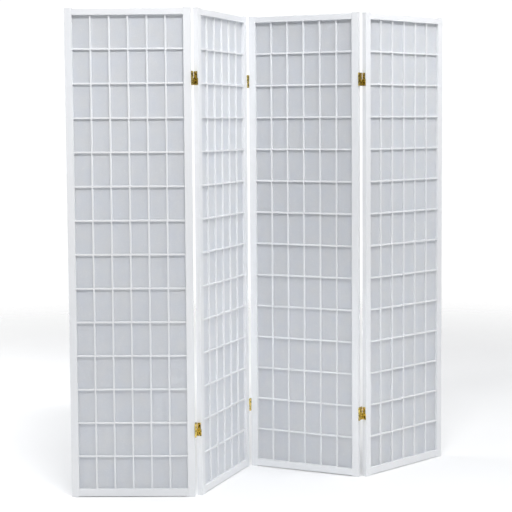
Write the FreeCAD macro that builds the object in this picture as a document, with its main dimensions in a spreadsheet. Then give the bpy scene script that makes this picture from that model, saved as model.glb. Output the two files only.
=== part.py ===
"""Four-panel folding room divider: paper-backed lattice panels on two-way hinges.

Each panel is a mortised frame of two stiles and two rails around a half-lapped lattice, with one
sheet of paper glued to the lattice's rear face and to the rebate that runs round the frame.
Neighbouring panels are joined by an upper and a lower two-way hinge. Such a hinge has a front pin
and a rear pin: the left leaf turns on the front pin, the right leaf on the rear pin, and a link
between the two panel edges joins the pins, so a pair of panels folds either way.

Panel frame: X from the left edge to the right edge, Y from the front face to the rear face, Z up
from the feet. Hinge frame: origin between the two panel edges at the front faces and at the
hinge's mid height, with the axes of the panel frame. The model is in millimetres and stands on
Z = 0 with the origin under the middle of the standing screen.
"""
import FreeCAD, Part
import os

import Sketcher
from FreeCAD import Placement, Rotation, Vector

SIZES = {
    # panel
    "panel_width": 454.0,
    "panel_height": 1784.0,
    "panel_thickness": 19.0,
    "stile_width": 27.0,
    "top_rail_height": 22.0,
    "bottom_rail_height": 27.0,
    "stile_overshoot": 3.0,
    "tenon_length": 18.0,
    "tenon_thickness": 7.0,
    "tenon_shoulder": 3.0,
    "rebate_width": 4.0,
    # lattice and paper
    "column_count": 6,
    "row_count": 14,
    "muntin_width": 6.0,
    "muntin_depth": 7.0,
    "lattice_recess": 4.5,
    "stub_length": 3.0,
    "paper_thickness": 0.4,
    "paper_margin": 3.5,
    # two-way hinge
    "edge_gap": 8.0,
    "pin_standoff": 2.5,
    "pin_radius": 1.25,
    "pin_clearance": 0.05,
    "pin_head_radius": 2.0,
    "pin_protrusion": 0.6,
    "barrel_radius": 3.25,
    "knuckle_gap": 0.4,
    "hinge_height": 49.0,
    "leaf_thickness": 1.2,
    "leaf_inset": 1.5,
    "leaf_relief": 3.0,
    "link_thickness": 1.6,
    "barrel_clearance": 0.5,
    "upper_hinge_height": 1532.0,
    "lower_hinge_height": 247.0,
    # leaf screw
    "screw_spread": 28.0,
    "screw_head_radius": 2.9,
    "screw_shank_radius": 1.3,
    "screw_length": 14.0,
    "screw_tip": 3.0,
    "recess_width": 0.6,
    "recess_length": 3.0,
    "recess_depth": 0.7,
    # direction of each panel from its left edge to its right edge, seen from above
    "panel_1_heading": -2.5,
    "panel_2_heading": 66.0,
    "panel_3_heading": -26.0,
    "panel_4_heading": 41.0,
}

PANELS = (1, 2, 3, 4)
JUNCTIONS = (1, 2, 3)          # junction j joins panel j to panel j + 1
HINGE_LEVELS = ("upper", "lower")
Z_AXIS = Vector(0, 0, 1)

# Lengths that several pieces share, as expressions on the sheet
OPENING_BOTTOM = "(Sizes.stile_overshoot + Sizes.bottom_rail_height)"
OPENING_TOP = "(Sizes.panel_height - Sizes.stile_overshoot - Sizes.top_rail_height)"
OPENING_RIGHT = "(Sizes.panel_width - Sizes.stile_width)"
OPENING_WIDTH = "(Sizes.panel_width - 2 * Sizes.stile_width)"
OPENING_HEIGHT = f"({OPENING_TOP} - {OPENING_BOTTOM})"
COLUMN_PITCH = f"(({OPENING_WIDTH} + Sizes.muntin_width) / Sizes.column_count)"
ROW_PITCH = f"(({OPENING_HEIGHT} + Sizes.muntin_width) / Sizes.row_count)"
FIRST_COLUMN = f"(Sizes.stile_width + {COLUMN_PITCH} - Sizes.muntin_width)"
FIRST_ROW = f"({OPENING_BOTTOM} + {ROW_PITCH} - Sizes.muntin_width)"
COLUMN_SPAN = f"({COLUMN_PITCH} * (Sizes.column_count - 2))"
ROW_SPAN = f"({ROW_PITCH} * (Sizes.row_count - 2))"
PAPER_FACE = "(Sizes.lattice_recess + Sizes.muntin_depth)"
REBATE_DEPTH = f"(Sizes.panel_thickness - {PAPER_FACE})"
REAR_PIN_Y = "(Sizes.panel_thickness + Sizes.pin_standoff)"
HALF_GAP = "(Sizes.edge_gap / 2)"
HALF_HINGE = "(Sizes.hinge_height / 2)"
KNUCKLE_LENGTH = f"({HALF_HINGE} - Sizes.knuckle_gap / 2)"

doc = FreeCAD.newDocument("FoldingScreen")
sheet = doc.addObject("Spreadsheet::Sheet", "Sizes")
for row, (alias, value) in enumerate(SIZES.items(), start=1):
    sheet.set(f"A{row}", alias)
    sheet.set(f"B{row}", str(value))
    sheet.setAlias(f"B{row}", alias)
doc.recompute()

nodes = {}                     # node name -> document object
frames = {}                    # node name -> Placement of its frame in the screen


def number(alias):
    """A driving dimension as it stands in the sheet."""
    return float(sheet.get(alias))


def bind(obj, properties):
    """Bind properties of an object to expressions."""
    for name, expression in properties.items():
        obj.setExpression(name, expression)


def register(label, obj, frame):
    """Make an object the sub-part called label, built in the given frame."""
    obj.Label = label
    nodes[label] = obj
    frames[label] = frame


# ---- PartDesign helpers -------------------------------------------------------------------

def new_body(label, frame):
    body = doc.addObject("PartDesign::Body", label)
    body.AllowCompound = True
    register(label, body, frame)
    return body


def origin_feature(body, role):
    return next(item for item in body.Origin.OriginFeatures if item.Role == role)


def block(body, kind, name, corner, size):
    """Pad or pocket a rectangular block; its low corner and its size are expressions."""
    outline = body.newObject("Sketcher::SketchObject", name + "Outline")
    outline.AttachmentSupport = (origin_feature(body, "XY_Plane"), [""])
    outline.MapMode = "FlatFace"
    bind(outline, {f"AttachmentOffset.Base.{axis}": place for axis, place in zip("xyz", corner)})
    corners = [Vector(0, 0, 0), Vector(10, 0, 0), Vector(10, 10, 0), Vector(0, 10, 0)]
    for index in range(4):
        outline.addGeometry(Part.LineSegment(corners[index], corners[(index + 1) % 4]), False)
        outline.addConstraint(Sketcher.Constraint(
            "Horizontal" if index % 2 == 0 else "Vertical", index))
    for index in range(4):
        outline.addConstraint(Sketcher.Constraint("Coincident", index, 2, (index + 1) % 4, 1))
    outline.addConstraint(Sketcher.Constraint("Coincident", 0, 1, -1, 1))
    for direction, line, length in (("X", 0, size[0]), ("Y", 1, size[1])):
        index = outline.addConstraint(
            Sketcher.Constraint(f"Distance{direction}", line, 1, line, 2, 10.0))
        outline.setExpression(f"Constraints[{index}]", length)
    feature = body.newObject(f"PartDesign::{kind}", name)
    feature.Profile = outline
    feature.Reversed = kind == "Pocket"
    feature.setExpression("Length", size[2])
    body.Tip = feature
    return feature


def repeat(body, feature, axis_role, span, count):
    """Repeat a feature along an origin axis; span and count are expressions."""
    pattern = body.newObject("PartDesign::LinearPattern", feature.Name + "Row")
    pattern.Originals = [feature]
    pattern.Direction = (origin_feature(body, axis_role), [""])
    bind(pattern, {"Length": span, "Occurrences": count})
    body.Tip = pattern
    return pattern


def bore_across(body, name, side, face_x, height):
    """Pocket a pilot hole along X into the edge of a stile, from face_x inwards."""
    outline = body.newObject("Sketcher::SketchObject", name + "Outline")
    outline.AttachmentSupport = (origin_feature(body, "YZ_Plane"), [""])
    outline.MapMode = "FlatFace"
    bind(outline, {"AttachmentOffset.Base.x": "Sizes.panel_thickness / 2",
                   "AttachmentOffset.Base.y": height,
                   "AttachmentOffset.Base.z": face_x})
    circle = outline.addGeometry(Part.Circle(Vector(0, 0, 0), Z_AXIS, 1.0), False)
    outline.addConstraint(Sketcher.Constraint("Coincident", circle, 3, -1, 1))
    index = outline.addConstraint(Sketcher.Constraint("Radius", circle, 1.0))
    outline.setExpression(f"Constraints[{index}]", "Sizes.screw_shank_radius")
    hole = body.newObject("PartDesign::Pocket", name)
    hole.Profile = outline
    hole.Reversed = side == "left"
    hole.setExpression("Length", "Sizes.screw_length - Sizes.leaf_thickness")
    body.Tip = hole


# ---- Part helpers -------------------------------------------------------------------------

def box(name, corner, size):
    solid = doc.addObject("Part::Box", name)
    bind(solid, {f"Placement.Base.{axis}": place for axis, place in zip("xyz", corner)})
    bind(solid, dict(zip(("Length", "Width", "Height"), size)))
    return solid


def round_bar(name, base, radius, height):
    """An upright cylinder standing on base."""
    solid = doc.addObject("Part::Cylinder", name)
    bind(solid, {f"Placement.Base.{axis}": place for axis, place in zip("xyz", base)})
    bind(solid, {"Radius": radius, "Height": height})
    return solid


def taper(name, base_z, radius_low, radius_high, height):
    """An upright cone on the Z axis."""
    solid = doc.addObject("Part::Cone", name)
    bind(solid, {"Placement.Base.z": base_z, "Radius1": radius_low, "Radius2": radius_high,
                 "Height": height})
    return solid


def fuse(name, solids):
    result = doc.addObject("Part::MultiFuse", name)
    result.Shapes = solids
    result.Refine = True
    return result


def cut(name, base, tools):
    result = doc.addObject("Part::Cut", name)
    result.Base = base
    result.Tool = tools[0] if len(tools) == 1 else fuse(name + "Tools", tools)
    return result


# ---- Panel pieces -------------------------------------------------------------------------

def stile(panel, side, frame, hinged_side):
    """An upright with mortises for the rails, sockets for the lattice and a paper rebate."""
    outer_x = "0" if side == "left" else OPENING_RIGHT
    inner_x = {"left": "Sizes.stile_width - {0}", "right": OPENING_RIGHT}[side]
    body = new_body(f"panel_{panel}_{side}_stile", frame)
    block(body, "Pad", f"Upright{panel}{side}", (outer_x, "0", "0"),
          ("Sizes.stile_width", "Sizes.panel_thickness", "Sizes.panel_height"))
    block(body, "Pocket", f"Rebate{panel}{side}",
          (inner_x.format("Sizes.rebate_width"), PAPER_FACE,
           f"{OPENING_BOTTOM} - Sizes.rebate_width"),
          ("Sizes.rebate_width", REBATE_DEPTH, f"{OPENING_HEIGHT} + 2 * Sizes.rebate_width"))
    for rail in ("top", "bottom"):
        block(body, "Pocket", f"Mortise{panel}{side}{rail}",
              (inner_x.format("Sizes.tenon_length"), *tenon_section(rail)[0]),
              ("Sizes.tenon_length", *tenon_section(rail)[1]))
    socket = block(body, "Pocket", f"Socket{panel}{side}",
                   (inner_x.format("Sizes.stub_length"), "Sizes.lattice_recess", FIRST_ROW),
                   ("Sizes.stub_length", "Sizes.muntin_depth", "Sizes.muntin_width"))
    repeat(body, socket, "Z_Axis", ROW_SPAN, "Sizes.row_count - 1")
    if hinged_side:
        edge_x = "0" if side == "left" else "Sizes.panel_width"
        for level in HINGE_LEVELS:
            for sign in ("+", "-"):
                name = f"Pilot{panel}{side}{level}{'High' if sign == '+' else 'Low'}"
                bore_across(body, name, side, edge_x,
                            f"Sizes.{level}_hinge_height {sign} Sizes.screw_spread / 2")


def rail_height(rail):
    return f"Sizes.{rail}_rail_height"


def rail_bottom(rail):
    return OPENING_TOP if rail == "top" else "Sizes.stile_overshoot"


def tenon_section(rail):
    """The Y and Z of a tenon's low corner, and its size along Y and Z."""
    corner = ("Sizes.lattice_recess", f"{rail_bottom(rail)} + Sizes.tenon_shoulder")
    size = ("Sizes.tenon_thickness", f"{rail_height(rail)} - 2 * Sizes.tenon_shoulder")
    return corner, size


def rail(panel, position, frame):
    """A cross member with a tenon at each end, sockets for the lattice and a paper rebate."""
    body = new_body(f"panel_{panel}_{position}_rail", frame)
    tag = f"{panel}{position}"
    bottom = rail_bottom(position)
    block(body, "Pad", f"Rail{tag}", ("Sizes.stile_width", "0", bottom),
          (OPENING_WIDTH, "Sizes.panel_thickness", rail_height(position)))
    corner, size = tenon_section(position)
    block(body, "Pad", f"LeftTenon{tag}", ("Sizes.stile_width - Sizes.tenon_length", *corner),
          ("Sizes.tenon_length", *size))
    block(body, "Pad", f"RightTenon{tag}", (OPENING_RIGHT, *corner), ("Sizes.tenon_length", *size))
    if position == "top":
        rebate_z, socket_z = OPENING_TOP, OPENING_TOP
    else:
        rebate_z = f"{OPENING_BOTTOM} - Sizes.rebate_width"
        socket_z = f"{OPENING_BOTTOM} - Sizes.stub_length"
    block(body, "Pocket", f"Rebate{tag}", ("Sizes.stile_width", PAPER_FACE, rebate_z),
          (OPENING_WIDTH, REBATE_DEPTH, "Sizes.rebate_width"))
    socket = block(body, "Pocket", f"Socket{tag}", (FIRST_COLUMN, "Sizes.lattice_recess", socket_z),
                   ("Sizes.muntin_width", "Sizes.muntin_depth", "Sizes.stub_length"))
    repeat(body, socket, "X_Axis", COLUMN_SPAN, "Sizes.column_count - 1")


def lattice(panel, frame):
    """Upright and level muntins, half-lapped so that their front and rear faces are flush."""
    half_depth = "Sizes.muntin_depth / 2"
    lap_y = f"Sizes.lattice_recess + {half_depth}"
    columns, rows = "Sizes.column_count - 1", "Sizes.row_count - 1"

    upright = new_body(f"panel_{panel}_vertical_muntins", frame)
    bar = block(upright, "Pad", f"UprightMuntin{panel}",
                (FIRST_COLUMN, "Sizes.lattice_recess", f"{OPENING_BOTTOM} - Sizes.stub_length"),
                ("Sizes.muntin_width", "Sizes.muntin_depth",
                 f"{OPENING_HEIGHT} + 2 * Sizes.stub_length"))
    repeat(upright, bar, "X_Axis", COLUMN_SPAN, columns)
    lap = block(upright, "Pocket", f"RearLap{panel}", ("Sizes.stile_width", lap_y, FIRST_ROW),
                (OPENING_WIDTH, half_depth, "Sizes.muntin_width"))
    repeat(upright, lap, "Z_Axis", ROW_SPAN, rows)

    level = new_body(f"panel_{panel}_horizontal_muntins", frame)
    bar = block(level, "Pad", f"LevelMuntin{panel}",
                ("Sizes.stile_width - Sizes.stub_length", "Sizes.lattice_recess", FIRST_ROW),
                (f"{OPENING_WIDTH} + 2 * Sizes.stub_length", "Sizes.muntin_depth",
                 "Sizes.muntin_width"))
    repeat(level, bar, "Z_Axis", ROW_SPAN, rows)
    lap = block(level, "Pocket", f"FrontLap{panel}",
                (FIRST_COLUMN, "Sizes.lattice_recess", OPENING_BOTTOM),
                ("Sizes.muntin_width", half_depth, OPENING_HEIGHT))
    repeat(level, lap, "X_Axis", COLUMN_SPAN, columns)


def paper(panel, frame):
    """One sheet against the lattice's rear face, held at its edges on the rebate's shoulder."""
    margin = "Sizes.paper_margin"
    sheet_of_paper = box(f"Paper{panel}",
                         (f"Sizes.stile_width - {margin}", PAPER_FACE,
                          f"{OPENING_BOTTOM} - {margin}"),
                         (f"{OPENING_WIDTH} + 2 * {margin}", "Sizes.paper_thickness",
                          f"{OPENING_HEIGHT} + 2 * {margin}"))
    holder = doc.addObject("Part::Compound", f"PaperSheet{panel}")
    holder.Links = [sheet_of_paper]
    register(f"panel_{panel}_paper", holder, frame)


def build_panel(panel, frame):
    stile(panel, "left", frame, hinged_side=panel > 1)
    stile(panel, "right", frame, hinged_side=panel < len(PANELS))
    rail(panel, "top", frame)
    rail(panel, "bottom", frame)
    lattice(panel, frame)
    paper(panel, frame)


# ---- Hinge pieces -------------------------------------------------------------------------

def knuckle_base(pin, half):
    """Where a knuckle on the front or rear pin stands, in the upper or lower half."""
    pin_y = "-Sizes.pin_standoff" if pin == "front" else REAR_PIN_Y
    base_z = "Sizes.knuckle_gap / 2" if half == "upper" else f"-{HALF_HINGE}"
    return ("0", pin_y, base_z)


def pin_hole(name, pin, radius):
    """A tool that bores a pin's hole through the whole height of the hinge."""
    base = (*knuckle_base(pin, "lower")[:2], f"-{HALF_HINGE}")
    return round_bar(name, base, radius, "Sizes.hinge_height")


def countersunk_hole(name, side, height):
    """A tool with the screw's own outline, widest on the leaf face that looks into the gap."""
    solid = doc.addObject("Part::Cone", name)
    bind(solid, {"Radius1": "Sizes.screw_shank_radius", "Radius2": "Sizes.screw_head_radius",
                 "Height": "Sizes.leaf_thickness"})
    towards_gap = Vector(1, 0, 0) if side == "left" else Vector(-1, 0, 0)
    solid.Placement = Placement(Vector(0, 0, 0), Rotation(Z_AXIS, towards_gap))
    bind(solid, {"Placement.Base.x": f"-{HALF_GAP}" if side == "left" else HALF_GAP,
                 "Placement.Base.y": "Sizes.panel_thickness / 2",
                 "Placement.Base.z": height})
    return solid


def leaf(label, side, frame):
    """The plate screwed to one panel's edge, with its knuckle on that side's pin."""
    tag = label.title().replace("_", "")
    thick, inset, relief = "Sizes.leaf_thickness", "Sizes.leaf_inset", "Sizes.leaf_relief"
    plate_width = f"(Sizes.panel_thickness - 2 * {inset})"
    if side == "left":
        pin, half, plate_x = "front", "upper", f"-{HALF_GAP}"
        arm_y = "-Sizes.pin_standoff"
        relief_y, relief_z = f"Sizes.panel_thickness - {inset} - {relief}", f"-{HALF_HINGE}"
    else:
        pin, half, plate_x = "rear", "lower", f"{HALF_GAP} - {thick}"
        arm_y = f"Sizes.panel_thickness - {inset}"
        relief_y, relief_z = inset, "0"
    base = knuckle_base(pin, half)
    plate = box(f"Plate{tag}", (plate_x, inset, f"-{HALF_HINGE}"),
                (thick, plate_width, "Sizes.hinge_height"))
    arm = box(f"Arm{tag}", (plate_x, arm_y, base[2]),
              (thick, f"Sizes.pin_standoff + {inset}", KNUCKLE_LENGTH))
    knuckle = round_bar(f"Knuckle{tag}", base, "Sizes.barrel_radius", KNUCKLE_LENGTH)
    tools = [
        box(f"Relief{tag}", (plate_x, relief_y, relief_z), (thick, relief, HALF_HINGE)),
        pin_hole(f"PinHole{tag}", pin, "Sizes.pin_radius + Sizes.pin_clearance"),
        countersunk_hole(f"HighHole{tag}", side, "Sizes.screw_spread / 2"),
        countersunk_hole(f"LowHole{tag}", side, "-Sizes.screw_spread / 2"),
    ]
    register(label, cut(f"Leaf{tag}", fuse(f"LeafBlank{tag}", [plate, arm, knuckle]), tools), frame)


def link(label, frame):
    """The plate between the two pins: lower knuckle on the front pin, upper on the rear pin."""
    tag = label.title().replace("_", "")
    thick = "Sizes.link_thickness"
    edge_x = f"-{thick} / 2"
    reach = "(Sizes.barrel_radius + Sizes.barrel_clearance)"
    front_y = f"({reach} - Sizes.pin_standoff)"
    rear_y = f"({REAR_PIN_Y} - {reach})"
    front, rear = knuckle_base("front", "lower"), knuckle_base("rear", "upper")
    solids = [
        box(f"Web{tag}", (edge_x, front_y, f"-{HALF_HINGE}"),
            (thick, f"{rear_y} - {front_y}", "Sizes.hinge_height")),
        box(f"FrontTab{tag}", (edge_x, front[1], front[2]), (thick, reach, KNUCKLE_LENGTH)),
        box(f"RearTab{tag}", (edge_x, rear_y, rear[2]), (thick, reach, KNUCKLE_LENGTH)),
        round_bar(f"FrontKnuckle{tag}", front, "Sizes.barrel_radius", KNUCKLE_LENGTH),
        round_bar(f"RearKnuckle{tag}", rear, "Sizes.barrel_radius", KNUCKLE_LENGTH),
    ]
    tools = [pin_hole(f"{pin.title()}Bore{tag}", pin, "Sizes.pin_radius")
             for pin in ("front", "rear")]
    register(label, cut(f"Link{tag}", fuse(f"LinkBlank{tag}", solids), tools), frame)


def pins(label, frame):
    """The front and the rear pin, each with a peened head just clear of the barrel's ends."""
    holder = doc.addObject("Part::Compound", label.title().replace("_", ""))
    clear_end = f"({HALF_HINGE} + Sizes.knuckle_gap / 2)"
    links = []
    for pin in ("front", "rear"):
        tag = f"{pin.title()}{holder.Name}"
        pin_y = knuckle_base(pin, "lower")[1]
        shaft = round_bar(f"Shaft{tag}", ("0", pin_y, f"-{clear_end}"), "Sizes.pin_radius",
                          f"2 * {clear_end}")
        heads = [round_bar(f"{end}Head{tag}", ("0", pin_y, base_z), "Sizes.pin_head_radius",
                           "Sizes.pin_protrusion")
                 for end, base_z in (("Top", clear_end),
                                     ("Bottom", f"-{clear_end} - Sizes.pin_protrusion"))]
        links.append(fuse(f"Pin{tag}", [shaft, *heads]))
    holder.Links = links
    register(label, holder, frame)


def screw(tag, place):
    """A countersunk cross-head wood screw, head flush with the leaf and axis along local Z."""
    tip_z = "-Sizes.screw_length"
    shank_z = f"{tip_z} + Sizes.screw_tip"
    blank = fuse(f"ScrewBlank{tag}", [
        taper(f"Head{tag}", "-Sizes.leaf_thickness", "Sizes.screw_shank_radius",
              "Sizes.screw_head_radius", "Sizes.leaf_thickness"),
        round_bar(f"Shank{tag}", ("0", "0", shank_z), "Sizes.screw_shank_radius",
                  "Sizes.screw_length - Sizes.screw_tip - Sizes.leaf_thickness"),
        taper(f"Tip{tag}", tip_z, "0", "Sizes.screw_shank_radius", "Sizes.screw_tip"),
    ])
    slot_z = "-Sizes.recess_depth"
    across, along = "Sizes.recess_width", "Sizes.recess_length"
    slots = [
        box(f"SlotX{tag}", (f"-{along} / 2", f"-{across} / 2", slot_z),
            (along, across, "Sizes.recess_depth")),
        box(f"SlotY{tag}", (f"-{across} / 2", f"-{along} / 2", slot_z),
            (across, along, "Sizes.recess_depth")),
    ]
    result = cut(f"Screw{tag}", blank, slots)
    result.Placement = place
    return result


def panel_screws(panel, frame):
    """All the leaf screws that hold hinges to one panel, as separate solids of one node."""
    screws = []
    for side in ("left", "right"):
        if (side == "left" and panel == PANELS[0]) or (side == "right" and panel == PANELS[-1]):
            continue
        if side == "left":
            head_x, outwards = -number("leaf_thickness"), Vector(-1, 0, 0)
        else:
            head_x, outwards = number("panel_width") + number("leaf_thickness"), Vector(1, 0, 0)
        for level in HINGE_LEVELS:
            for half, sign in (("High", 1), ("Low", -1)):
                height = number(f"{level}_hinge_height") + sign * number("screw_spread") / 2
                place = Placement(Vector(head_x, number("panel_thickness") / 2, height),
                                  Rotation(Z_AXIS, outwards))
                screws.append(screw(f"{panel}{side}{level}{half}", place))
    holder = doc.addObject("Part::Compound", f"Screws{panel}")
    holder.Links = screws
    register(f"panel_{panel}_hinge_screws", holder, frame)


def build_hinge(junction, level, left_frame, right_frame, link_frame):
    name = f"hinge_{junction}{junction + 1}_{level}"
    leaf(f"{name}_left_leaf", "left", left_frame)
    leaf(f"{name}_right_leaf", "right", right_frame)
    link(f"{name}_link", link_frame)
    pins(f"{name}_pins", link_frame)


# ---- Standing pose ------------------------------------------------------------------------

def move(x, y, z=0.0):
    return Placement(Vector(x, y, z), Rotation())


def swivel(degrees):
    return Placement(Vector(), Rotation(Z_AXIS, degrees))


def heading(panel):
    return number(f"panel_{panel}_heading")


def fold(junction):
    """How far the right panel is turned from flat; positive turns it towards the rear."""
    return heading(junction + 1) - heading(junction)


def pin_place(junction, pin):
    """A pin's place in the frame of the junction's left panel."""
    standoff = number("pin_standoff")
    pin_y = -standoff if pin == "front" else number("panel_thickness") + standoff
    return move(number("panel_width") + number("edge_gap") / 2, pin_y)


def open_pin(junction):
    """The pin that the standing screen is folded about at a junction."""
    return "rear" if fold(junction) > 0 else "front"


def panel_frames():
    """Frames of the panels, from the first panel at the origin along the folded row."""
    result = {PANELS[0]: swivel(heading(PANELS[0]))}
    for junction in JUNCTIONS:
        pin = pin_place(junction, open_pin(junction))
        flat = move(number("panel_width") + number("edge_gap"), 0)
        turned = pin * swivel(fold(junction)) * pin.inverse() * flat
        result[junction + 1] = result[junction] * turned
    return result


def hinge_frames(panel_frame, junction, level):
    """Frames of a hinge's left leaf, right leaf and link."""
    height = number(f"{level}_hinge_height")
    left = panel_frame[junction] * move(number("panel_width") + number("edge_gap") / 2, 0, height)
    right = panel_frame[junction + 1] * move(-number("edge_gap") / 2, 0, height)
    return left, right, left if open_pin(junction) == "rear" else right


def centring_shift():
    """The move that brings the middle of the standing screen's box over the origin."""
    bounds = FreeCAD.BoundBox()
    for label, obj in nodes.items():
        shape = obj.Shape.copy()
        shape.Placement = frames[label] * shape.Placement
        bounds.add(shape.BoundBox)
    return move(-bounds.Center.x, -bounds.Center.y, -bounds.ZMin)


def place_nodes(shift):
    for label, obj in nodes.items():
        obj.Placement = shift * frames[label]


def check_document():
    """Stop if any feature failed or any sub-part is empty or invalid."""
    failed = [obj.Label for obj in doc.Objects if {"Invalid", "Error"} & set(obj.State)]
    unsound = [label for label, obj in nodes.items()
               if obj.Shape.isNull() or not obj.Shape.isValid() or not obj.Shape.Solids]
    if failed or unsound:
        raise RuntimeError(f"failed objects {failed}, unsound sub-parts {unsound}")


def build():
    """Make every sub-part and stand the screen on the floor, centred on the origin."""
    panel_frame = panel_frames()
    for panel in PANELS:
        build_panel(panel, panel_frame[panel])
        panel_screws(panel, panel_frame[panel])
    for junction in JUNCTIONS:
        for level in HINGE_LEVELS:
            build_hinge(junction, level, *hinge_frames(panel_frame, junction, level))
    doc.recompute()
    place_nodes(centring_shift())
    doc.recompute()
    check_document()


def export(folder):
    os.makedirs(folder, exist_ok=True)
    for label, obj in nodes.items():
        obj.Shape.exportStep(os.path.join(folder, f"{label}.step"))


build()
export("parts")
for label, obj in nodes.items():
    print(f"{label}: {len(obj.Shape.Solids)} solids, {obj.Shape.Volume / 1000:.2f} cm3")
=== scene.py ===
"""Folding screen: paper-backed lattice panels on two-way brass hinges, in a plain pale studio.

The wooden members, hinges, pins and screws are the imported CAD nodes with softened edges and
procedural finishes. Each sheet of paper is a fine mesh of its own that stands for the flat CAD
sheet. Lengths are in metres and colours are linear, in the row frame.
"""

import math

import bpy
from mathutils import Euler, Matrix, Vector, noise


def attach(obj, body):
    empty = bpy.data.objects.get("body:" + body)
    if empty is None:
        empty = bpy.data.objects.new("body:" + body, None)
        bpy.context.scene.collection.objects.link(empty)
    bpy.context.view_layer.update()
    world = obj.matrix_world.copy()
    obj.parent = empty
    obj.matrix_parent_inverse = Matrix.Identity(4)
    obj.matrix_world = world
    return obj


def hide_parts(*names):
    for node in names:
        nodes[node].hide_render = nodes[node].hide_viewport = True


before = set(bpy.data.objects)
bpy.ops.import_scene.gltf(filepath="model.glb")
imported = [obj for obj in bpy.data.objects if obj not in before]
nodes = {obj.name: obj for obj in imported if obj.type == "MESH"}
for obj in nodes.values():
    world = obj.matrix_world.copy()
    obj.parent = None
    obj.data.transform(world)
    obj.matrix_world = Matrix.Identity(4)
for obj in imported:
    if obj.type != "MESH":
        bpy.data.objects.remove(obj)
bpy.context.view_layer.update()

PANELS = (1, 2, 3, 4)
COLUMNS = 6                    # lattice cells across a panel
ROWS = 14                      # lattice cells up a panel
X_AXIS, Y_AXIS, Z_AXIS = 0, 1, 2

# ---- Shader helpers -----------------------------------------------------------------------

NOISE_SPAN = (0.3, 0.7)        # holds nearly all the values of a noise field
MIX_SHARE, MIX_FIRST, MIX_SECOND, MIX_RESULT = 0, 6, 7, 2    # a Mix node's colour sockets


def new_material(name):
    """A material with an empty node tree."""
    material = bpy.data.materials.new(name)
    material.use_nodes = True
    material.node_tree.nodes.clear()
    return material


def add(tree, kind, inputs=None, **settings):
    """Add a shader node; an input is a socket to link or a value to set."""
    made = tree.nodes.new("ShaderNode" + kind)
    for name, value in settings.items():
        setattr(made, name, value)
    for key, value in (inputs or {}).items():
        if isinstance(value, bpy.types.NodeSocket):
            tree.links.new(value, made.inputs[key])
        else:
            made.inputs[key].default_value = value
    return made


def grain_space(tree, heading, size):
    """Object coordinates turned to a panel's own axes and divided by a feature's size.

    The size is one length, or one for each axis.
    """
    if not isinstance(size, (list, tuple)):
        size = (size, size, size)
    coordinates = add(tree, "TexCoord").outputs["Object"]
    return add(tree, "Mapping", {"Vector": coordinates, "Rotation": (0, 0, heading),
                                 "Scale": size}, vector_type="TEXTURE").outputs["Vector"]


def noise_field(tree, heading, size, detail=3.0, roughness=0.5, distortion=0.0):
    """Noise whose features have the given size along a panel's own axes."""
    return add(tree, "TexNoise", {"Vector": grain_space(tree, heading, size), "Scale": 1.0,
                                  "Detail": detail, "Roughness": roughness,
                                  "Distortion": distortion}).outputs["Fac"]


def ramp(tree, value, span, low=0.0, high=1.0):
    """Carry a value from a span to the range low to high, held at both ends."""
    return add(tree, "MapRange", {"Value": value, "From Min": span[0], "From Max": span[1],
                                  "To Min": low, "To Max": high}).outputs["Result"]


def blend_colour(tree, share, first, second):
    """The first colour where the share is 0 and the second where it is 1."""
    return add(tree, "Mix", {MIX_SHARE: share, MIX_FIRST: first, MIX_SECOND: second},
               data_type="RGBA").outputs[MIX_RESULT]


def math_node(tree, operation, *values):
    return add(tree, "Math", dict(enumerate(values)), operation=operation).outputs[0]


def bump(tree, height, strength, distance, normal=None):
    """Relief from a height field, laid over the relief in normal if there is one."""
    inputs = {"Height": height, "Strength": strength, "Distance": distance}
    if normal is not None:
        inputs["Normal"] = normal
    return add(tree, "Bump", inputs).outputs["Normal"]


def worn_edges(tree, radius, span):
    """1 on edges that a bevel of this radius would round, 0 on flats.

    The span holds the cosines, between the rounded and the true normal, of full and of no wear.
    """
    rounded = add(tree, "Bevel", {"Radius": radius}, samples=4).outputs["Normal"]
    flat = add(tree, "NewGeometry").outputs["Normal"]
    cosine = add(tree, "VectorMath", {0: rounded, 1: flat},
                 operation="DOT_PRODUCT").outputs["Value"]
    return ramp(tree, cosine, (span[1], span[0]))


def finish_with(tree, shader):
    add(tree, "OutputMaterial", {"Surface": shader.outputs[0]})


# ---- Materials ----------------------------------------------------------------------------

PAINT = {"cool": (0.81, 0.825, 0.85, 1), "warm": (0.83, 0.835, 0.845, 1),
         "streak": (0.77, 0.78, 0.80, 1), "edge": (0.68, 0.65, 0.59, 1)}
PAPER = {"cool": (0.745, 0.765, 0.80, 1), "warm": (0.775, 0.785, 0.80, 1),
         "fibre": (0.88, 0.89, 0.90, 1)}
# The tarnish_and_shade colours are partly tarnished metal and partly painted shade.
BRASS = {"clean": (0.92, 0.72, 0.20, 1), "tarnish_and_shade": (0.06, 0.045, 0.015, 1),
         "edge": (0.98, 0.84, 0.40, 1)}
# Painted shade: the pins' dark brass is partly their own colour and partly painted shade for the
# shadowed gaps between the knuckles.
PIN_BRASS_AND_SHADE = {"clean": (0.40, 0.29, 0.09, 1), "tarnish_and_shade": (0.05, 0.035, 0.015, 1),
             "edge": (0.70, 0.55, 0.25, 1)}
# Painted shade: the screws' near-black colour is partly dark plating and partly painted shade for
# their shadowed recesses.
SCREW_PLATING_AND_SHADE = {"clean": (0.10, 0.07, 0.03, 1), "tarnish_and_shade": (0.03, 0.02, 0.01, 1),
          "edge": (0.35, 0.26, 0.12, 1)}

GRAIN_WIDTH, GRAIN_LENGTH = 0.0035, 0.30
PATCH_SIZE = 0.35              # clouds of cooler and warmer paint
PEEL_SIZE = 0.0016             # the paint's own fine texture

PULP_SIZE = 0.05               # thicker and thinner clouds in the paper
TOOTH_SIZE = 0.0009
FIBRES = ((0.016, 0.010), (0.028, 0.007), (0.045, 0.006))    # curl size, share of it drawn

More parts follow.
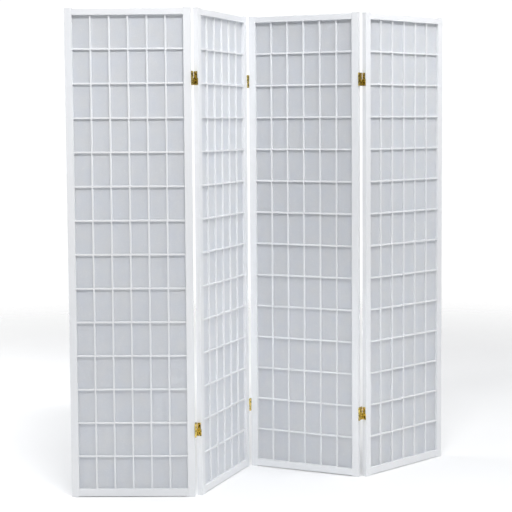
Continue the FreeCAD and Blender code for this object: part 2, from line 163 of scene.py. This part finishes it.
BLOTCH_SIZE = 0.007            # clouds of tarnished colour that are partly painted shade
SPECK_SIZE = 0.0015
SCRATCH_WIDTH, SCRATCH_LENGTH = 0.0003, 0.012


def painted_wood(name, heading, along):
    """White satin paint over softwood, with the grain just telling along one axis."""
    material = new_material(name)
    tree = material.node_tree
    size = [GRAIN_WIDTH, GRAIN_WIDTH, GRAIN_WIDTH]
    size[along] = GRAIN_LENGTH
    grain = noise_field(tree, heading, size, detail=4.0, roughness=0.6)
    fine = noise_field(tree, heading, [part / 4 for part in size], detail=2.0)
    patches = noise_field(tree, heading, PATCH_SIZE, detail=2.0)
    peel = noise_field(tree, heading, PEEL_SIZE, detail=1.0)

    shade = blend_colour(tree, ramp(tree, patches, NOISE_SPAN), PAINT["cool"], PAINT["warm"])
    streaked = blend_colour(tree, ramp(tree, grain, (0.42, 0.75), high=0.35), shade,
                            PAINT["streak"])
    wear = math_node(tree, "MULTIPLY", worn_edges(tree, 0.0012, (0.80, 0.99)),
                     ramp(tree, patches, (0.45, 0.65), 0.05, 0.40))
    colour = blend_colour(tree, wear, streaked, PAINT["edge"])
    relief = bump(tree, fine, 0.15, 0.0001)
    relief = bump(tree, grain, 0.25, 0.00025, relief)
    relief = bump(tree, peel, 0.10, 0.00008, relief)
    roughness = ramp(tree, grain, NOISE_SPAN, 0.36, 0.50)
    finish_with(tree, add(tree, "BsdfPrincipled", {"Base Color": colour, "Normal": relief,
                                                   "Roughness": roughness, "IOR": 1.48}))
    return material


def rice_paper(name, heading):
    """Matt fibre-reinforced paper that lets some of the light behind it through."""
    material = new_material(name)
    tree = material.node_tree
    cloud = noise_field(tree, heading, PULP_SIZE, detail=3.0)
    tooth = noise_field(tree, heading, TOOTH_SIZE, detail=2.0)
    fibres = None
    for size, width in FIBRES:
        # A fibre is drawn where a smooth field passes through its middle value.
        field = noise_field(tree, heading, size, detail=1.5, roughness=0.4, distortion=1.2)
        off_middle = math_node(tree, "ABSOLUTE", math_node(tree, "SUBTRACT", field, 0.5))
        strand = ramp(tree, off_middle, (0.0, width), 1.0, 0.0)
        fibres = strand if fibres is None else math_node(tree, "MAXIMUM", fibres, strand)

    pulp = blend_colour(tree, ramp(tree, cloud, NOISE_SPAN), PAPER["cool"], PAPER["warm"])
    colour = blend_colour(tree, math_node(tree, "MULTIPLY", fibres, 0.35), pulp, PAPER["fibre"])
    relief = bump(tree, tooth, 0.20, 0.00006, bump(tree, fibres, 0.30, 0.00008))
    roughness = ramp(tree, cloud, NOISE_SPAN, 0.78, 0.90)
    face = add(tree, "BsdfPrincipled", {"Base Color": colour, "Roughness": roughness,
                                        "Normal": relief, "Specular IOR Level": 0.2})
    through = add(tree, "BsdfTranslucent", {"Color": colour, "Normal": relief})
    thinness = math_node(tree, "SUBTRACT", cloud, math_node(tree, "MULTIPLY", fibres, 0.3))
    share = ramp(tree, thinness, (0.2, 0.8), 0.34, 0.44)
    finish_with(tree, add(tree, "MixShader", {0: share, 1: face.outputs[0],
                                              2: through.outputs[0]}))
    return material


def metal(name, tint, roughness_range, tarnish_and_shade_share, scratch_axis):
    """Lacquered metal, or metal with a plating, with tarnished clouds, rubbed edges and drawing
    scratches. The near-black clouds are partly tarnished metal and partly painted shade that stands
    in for the shadows of the hinge's gaps and recesses, though they fall at random.
    """
    material = new_material(name)
    tree = material.node_tree
    size = [SCRATCH_WIDTH, SCRATCH_WIDTH, SCRATCH_WIDTH]
    size[scratch_axis] = SCRATCH_LENGTH
    blotch = noise_field(tree, 0.0, BLOTCH_SIZE, detail=3.0, roughness=0.6)
    specks = noise_field(tree, 0.0, SPECK_SIZE, detail=3.0)
    scratches = noise_field(tree, 0.0, size, detail=2.0)

    # Painted shade: near-black clouds, partly tarnished metal and partly painted shade for shadowed
    # gaps.
    tarnish_and_shade_mask = math_node(tree, "MULTIPLY", ramp(tree, blotch, (0.47, 0.56)),
                       ramp(tree, specks, (0.35, 0.65), 0.6, 1.0))
    colour = blend_colour(tree, math_node(tree, "MULTIPLY", tarnish_and_shade_mask, tarnish_and_shade_share), tint["clean"],
                          tint["tarnish_and_shade"])
    rubbed = math_node(tree, "MULTIPLY", worn_edges(tree, 0.0004, (0.80, 0.99)), 0.5)
    edged = blend_colour(tree, rubbed, colour, tint["edge"])
    relief = bump(tree, scratches, 0.25, 0.00003, bump(tree, specks, 0.2, 0.00005))
    roughness = math_node(tree, "ADD", ramp(tree, blotch, (0.35, 0.7), *roughness_range),
                          ramp(tree, scratches, NOISE_SPAN, -0.04, 0.04))
    finish_with(tree, add(tree, "BsdfPrincipled", {"Base Color": edged, "Metallic": 1.0,
                                                   "Roughness": roughness, "Normal": relief}))
    return material


# ---- Panels and hinges --------------------------------------------------------------------

FRAME_ROUND = 0.0008           # how far each kind of piece has its edges rounded
BAR_ROUND = 0.0004
PIN_ROUND = 0.0003
LEAF_ROUND = 0.00025
SCREW_ROUND = 0.0001
WELD_REACH = 1e-5
FLAT_ENOUGH = math.radians(0.5)
SHARP_ENOUGH = math.radians(40)


class PanelSpace:
    """A panel's own axes, read from its flat CAD sheet: along the width, to the rear, and up."""

    def __init__(self, panel):
        mesh = nodes[f"panel_{panel}_paper"].data
        face = max(mesh.polygons, key=lambda polygon: polygon.area)
        rear = face.normal.xy.normalized() * (1 if face.normal.y > 0 else -1)
        self.rear = Vector((rear.x, rear.y, 0))
        self.right = Vector((rear.y, -rear.x, 0))
        self.heading = math.atan2(self.right.y, self.right.x)
        points = [vertex.co.copy() for vertex in mesh.vertices]
        across = [point.dot(self.right) for point in points]
        depth = [point.dot(self.rear) for point in points]
        height = [point.z for point in points]
        self.low = (min(across), min(depth), min(height))
        self.high = (max(across), max(depth), max(height))

    def point(self, across, depth, height):
        return self.right * across + self.rear * depth + Vector((0, 0, height))


def dress(obj, material, width, segments=2, merge_flats=False):
    """Give a CAD node its finish and rounded edges, without touching its mesh.

    merge_flats first joins the thin triangles of a flat, which would crease beside a bevel.
    """
    obj.data.materials.clear()
    obj.data.materials.append(material)
    obj.modifiers.new("Weld", "WELD").merge_threshold = WELD_REACH
    if merge_flats:
        merge = obj.modifiers.new("Flats", "DECIMATE")
        merge.decimate_type = "DISSOLVE"
        merge.angle_limit = FLAT_ENOUGH
    bevel = obj.modifiers.new("Bevel", "BEVEL")
    bevel.width = width
    bevel.segments = segments
    bevel.limit_method = "ANGLE"
    bevel.angle_limit = SHARP_ENOUGH
    bevel.use_clamp_overlap = False
    obj.modifiers.new("Normals", "WEIGHTED_NORMAL").keep_sharp = False


spaces = {panel: PanelSpace(panel) for panel in PANELS}
uprights = painted_wood("painted_uprights", 0.0, Z_AXIS)
slats = painted_wood("painted_slats", 0.0, Z_AXIS)
for panel in PANELS:
    rails = painted_wood(f"painted_rails_{panel}", spaces[panel].heading, X_AXIS)
    for piece, material, width in (("left_stile", uprights, FRAME_ROUND),
                                   ("right_stile", uprights, FRAME_ROUND),
                                   ("top_rail", rails, FRAME_ROUND),
                                   ("bottom_rail", rails, FRAME_ROUND),
                                   ("vertical_muntins", slats, BAR_ROUND),
                                   ("horizontal_muntins", rails, BAR_ROUND)):
        dress(nodes[f"panel_{panel}_{piece}"], material, width, merge_flats=True)

brass = metal("hinge_brass", BRASS, (0.28, 0.46), 0.9, Z_AXIS)
# Painted shade: the pins are darkened to stand for the shade in the knuckle gaps.
pin_metal_and_shade = metal("hinge_pins", PIN_BRASS_AND_SHADE, (0.18, 0.35), 0.7, Z_AXIS)
# Painted shade: the screws are darkened to stand for the shade around their heads.
screw_metal_and_shade = metal("screw_plating_and_shade", SCREW_PLATING_AND_SHADE, (0.25, 0.40), 0.8, Y_AXIS)
for name, obj in nodes.items():
    if name.endswith("_screws"):
        dress(obj, screw_metal_and_shade, SCREW_ROUND, segments=1)
    elif name.endswith("_pins"):
        dress(obj, pin_metal_and_shade, PIN_ROUND)
    elif name.startswith("hinge_"):
        dress(obj, brass, LEAF_ROUND)

# ---- Paper --------------------------------------------------------------------------------

PAPER_THICKNESS = 0.0003
GLUED_MARGIN = 0.0035          # how far the sheet runs past the frame's opening
HALF_BAR = 0.003               # half the width of a lattice bar
CELL_STEPS = 8                 # mesh faces across one lattice cell
ROW_STEPS = 12                 # and up it
COCKLE = 0.00035               # how far the sheet lifts between the bars
SWELL = (14, 7)                # features in a metre across and up: broad
RIPPLE = (45, 18)              # and fine


def cockle(panel, across, height, column_share, row_share):
    """How far the sheet stands back from the lattice at one point; 0 where it is glued."""
    free = math.sin(math.pi * column_share) * math.sin(math.pi * row_share)
    swell = noise.noise(Vector((across * SWELL[0], height * SWELL[1], 10.0 * panel)))
    ripple = noise.noise(Vector((across * RIPPLE[0], height * RIPPLE[1], 10.0 * panel + 5)))
    return COCKLE * free * (0.5 + 0.9 * swell + 0.5 * ripple)


def lattice_marks(low, high, count, steps):
    """Mesh lines across a sheet that runs from low to high, evenly set within each cell.

    Each is a place and the share of its cell passed there. Cells run between the middles of the
    bars, and the frame stands for half a bar at either end.
    """
    first = low + GLUED_MARGIN - HALF_BAR
    last = high - GLUED_MARGIN + HALF_BAR
    pitch = (last - first) / count
    inner = [(first + pitch * (cell + step / steps), step / steps)
             for cell in range(count) for step in range(steps)]
    return [(low, 0.0), *inner, (last, 0.0), (high, 0.0)]


def paper_sheet(panel):
    """One sheet as a thin closed skin, glued at the bars and faintly cockled between them."""
    space = spaces[panel]
    columns = lattice_marks(space.low[0], space.high[0], COLUMNS, CELL_STEPS)
    rows = lattice_marks(space.low[2], space.high[2], ROWS, ROW_STEPS)
    front_depth = space.low[1]
    points, faces = [], []
    for thickness in (0.0, PAPER_THICKNESS):
        for height, row_share in rows:
            for across, column_share in columns:
                lift = cockle(panel, across, height, column_share, row_share)
                points.append(space.point(across, front_depth + thickness + lift, height))

    width, layer = len(columns), len(columns) * len(rows)
    for row in range(len(rows) - 1):
        for column in range(width - 1):
            corner = row * width + column
            square = (corner, corner + 1, corner + width + 1, corner + width)
            faces.append(square)
            faces.append(tuple(layer + index for index in reversed(square)))
    rim = (list(range(width))
           + [row * width + width - 1 for row in range(1, len(rows))]
           + [(len(rows) - 1) * width + column for column in reversed(range(width - 1))]
           + [row * width for row in reversed(range(1, len(rows) - 1))])
    for here, ahead in zip(rim, rim[1:] + rim[:1]):
        faces.append((ahead, here, layer + here, layer + ahead))

    mesh = bpy.data.meshes.new(f"paper_sheet_{panel}")
    mesh.from_pydata(points, [], faces)
    mesh.polygons.foreach_set("use_smooth", [True] * len(faces))
    mesh.update()
    mesh.materials.append(rice_paper(f"rice_paper_{panel}", space.heading))
    sheet = bpy.data.objects.new(f"paper_sheet_{panel}", mesh)
    bpy.context.scene.collection.objects.link(sheet)
    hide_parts(f"panel_{panel}_paper")
    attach(sheet, f"panel_{panel}")


for panel in PANELS:
    paper_sheet(panel)

# ---- Studio -------------------------------------------------------------------------------

DAYLIGHT = (0.985, 0.99, 1.0)
SKYLIGHT = (0.975, 0.985, 1, 1)
OVERHEAD_FOCUS = 4.0           # the higher, the smaller the bright part of the surround


def pale_floor(solid, gone):
    """A near-white floor that thins out between two radii, so that it meets the surround softly."""
    material = new_material("pale_floor")
    tree = material.node_tree
    mottle = noise_field(tree, 0.0, 0.5, detail=2.0)
    colour = blend_colour(tree, mottle, (0.93, 0.93, 0.93, 1), (0.96, 0.96, 0.96, 1))
    surface = add(tree, "BsdfPrincipled", {"Base Color": colour, "Roughness": 0.9,
                                           "Specular IOR Level": 0.1})
    place = add(tree, "TexCoord").outputs["Object"]
    radius = add(tree, "VectorMath", {0: place}, operation="LENGTH").outputs["Value"]
    share = add(tree, "MapRange", {"Value": radius, "From Min": solid, "From Max": gone},
                interpolation_type="SMOOTHERSTEP").outputs["Result"]
    clear = add(tree, "BsdfTransparent")
    finish_with(tree, add(tree, "MixShader", {0: share, 1: surface.outputs[0],
                                              2: clear.outputs[0]}))
    mesh = bpy.data.meshes.new("floor")
    mesh.from_pydata([(-gone, -gone, 0), (gone, -gone, 0), (gone, gone, 0), (-gone, gone, 0)], [],
                     [(0, 1, 2, 3)])
    mesh.materials.append(material)
    floor = bpy.data.objects.new("floor", mesh)
    bpy.context.scene.collection.objects.link(floor)


def pale_world(backdrop, horizon, zenith):
    """A white surround that lights the object softly, more from overhead than from the sides."""
    world = bpy.data.worlds.new("studio")
    bpy.context.scene.world = world
    world.use_nodes = True
    tree = world.node_tree
    tree.nodes.clear()
    seen = add(tree, "Background", {"Color": (1, 1, 1, 1), "Strength": backdrop})
    direction = add(tree, "TexCoord").outputs["Generated"]
    height = add(tree, "SeparateXYZ", {"Vector": direction}).outputs["Z"]
    overhead = math_node(tree, "POWER", math_node(tree, "MAXIMUM", height, 0.0), OVERHEAD_FOCUS)
    strength = ramp(tree, overhead, (0.0, 1.0), horizon, zenith)
    lit = add(tree, "Background", {"Color": SKYLIGHT, "Strength": strength})
    by_camera = add(tree, "LightPath").outputs["Is Camera Ray"]
    mixed = add(tree, "MixShader", {0: by_camera, 1: lit.outputs[0], 2: seen.outputs[0]})
    add(tree, "OutputWorld", {"Surface": mixed.outputs[0]})


def soft_box(name, place, target, size, spread, power):
    """A flat lamp at place that faces target, with its beam held to an angle in degrees."""
    lamp = bpy.data.lights.new(name, "AREA")
    lamp.shape = "RECTANGLE"
    lamp.size, lamp.size_y = size
    lamp.spread = math.radians(spread)
    lamp.energy = power
    lamp.color = DAYLIGHT
    obj = bpy.data.objects.new(name, lamp)
    obj.location = place
    obj.rotation_euler = (Vector(target) - Vector(place)).to_track_quat("-Z", "Y").to_euler()
    bpy.context.scene.collection.objects.link(obj)


pale_floor(solid=1.5, gone=6.5)
pale_world(backdrop=1.05, horizon=0.19, zenith=1.33)
soft_box("key_front", place=(0.2, -3.3, 5.2), target=(0.0, 0.0, 0.9), size=(2.4, 0.4),
         spread=180, power=142.0)
soft_box("key_right", place=(4.0, -1.2, 5.2), target=(0.0, 0.0, 0.9), size=(2.4, 0.4),
         spread=180, power=82.0)
soft_box("top_wash", place=(0.8, -1.4, 3.2), target=(0.0, 0.0, 1.6), size=(2.4, 0.4),
         spread=36, power=2.3)
soft_box("left_rear", place=(-4.0, 1.2, 0.8), target=(0.0, 0.0, 0.8), size=(2.5, 1.4),
         spread=180, power=130.0)
soft_box("valley_fill", place=(0.4, -3.6, 1.0), target=(0.15, 0.0, 0.4), size=(0.8, 0.8),
         spread=12, power=0.30)

# ---- Camera -------------------------------------------------------------------------------

CAMERA_PLACE = (-0.1888, -4.9951, 1.3635)
CAMERA_YAW, CAMERA_DIP, CAMERA_ROLL = (math.radians(angle) for angle in (-1.762, 4.187, -0.384))

camera = bpy.data.cameras.new("camera")
camera.lens = 91.9
camera.sensor_width = 36.0
camera.shift_y = -0.07
holder = bpy.data.objects.new("camera", camera)
turn = (Euler((0, 0, CAMERA_YAW)).to_matrix()
        @ Euler((math.pi / 2 - CAMERA_DIP, 0, 0)).to_matrix()
        @ Euler((0, 0, CAMERA_ROLL)).to_matrix())
holder.matrix_world = Matrix.Translation(CAMERA_PLACE) @ turn.to_4x4()
bpy.context.scene.collection.objects.link(holder)
bpy.context.scene.camera = holder
bpy.context.scene.view_settings.view_transform = "Standard"
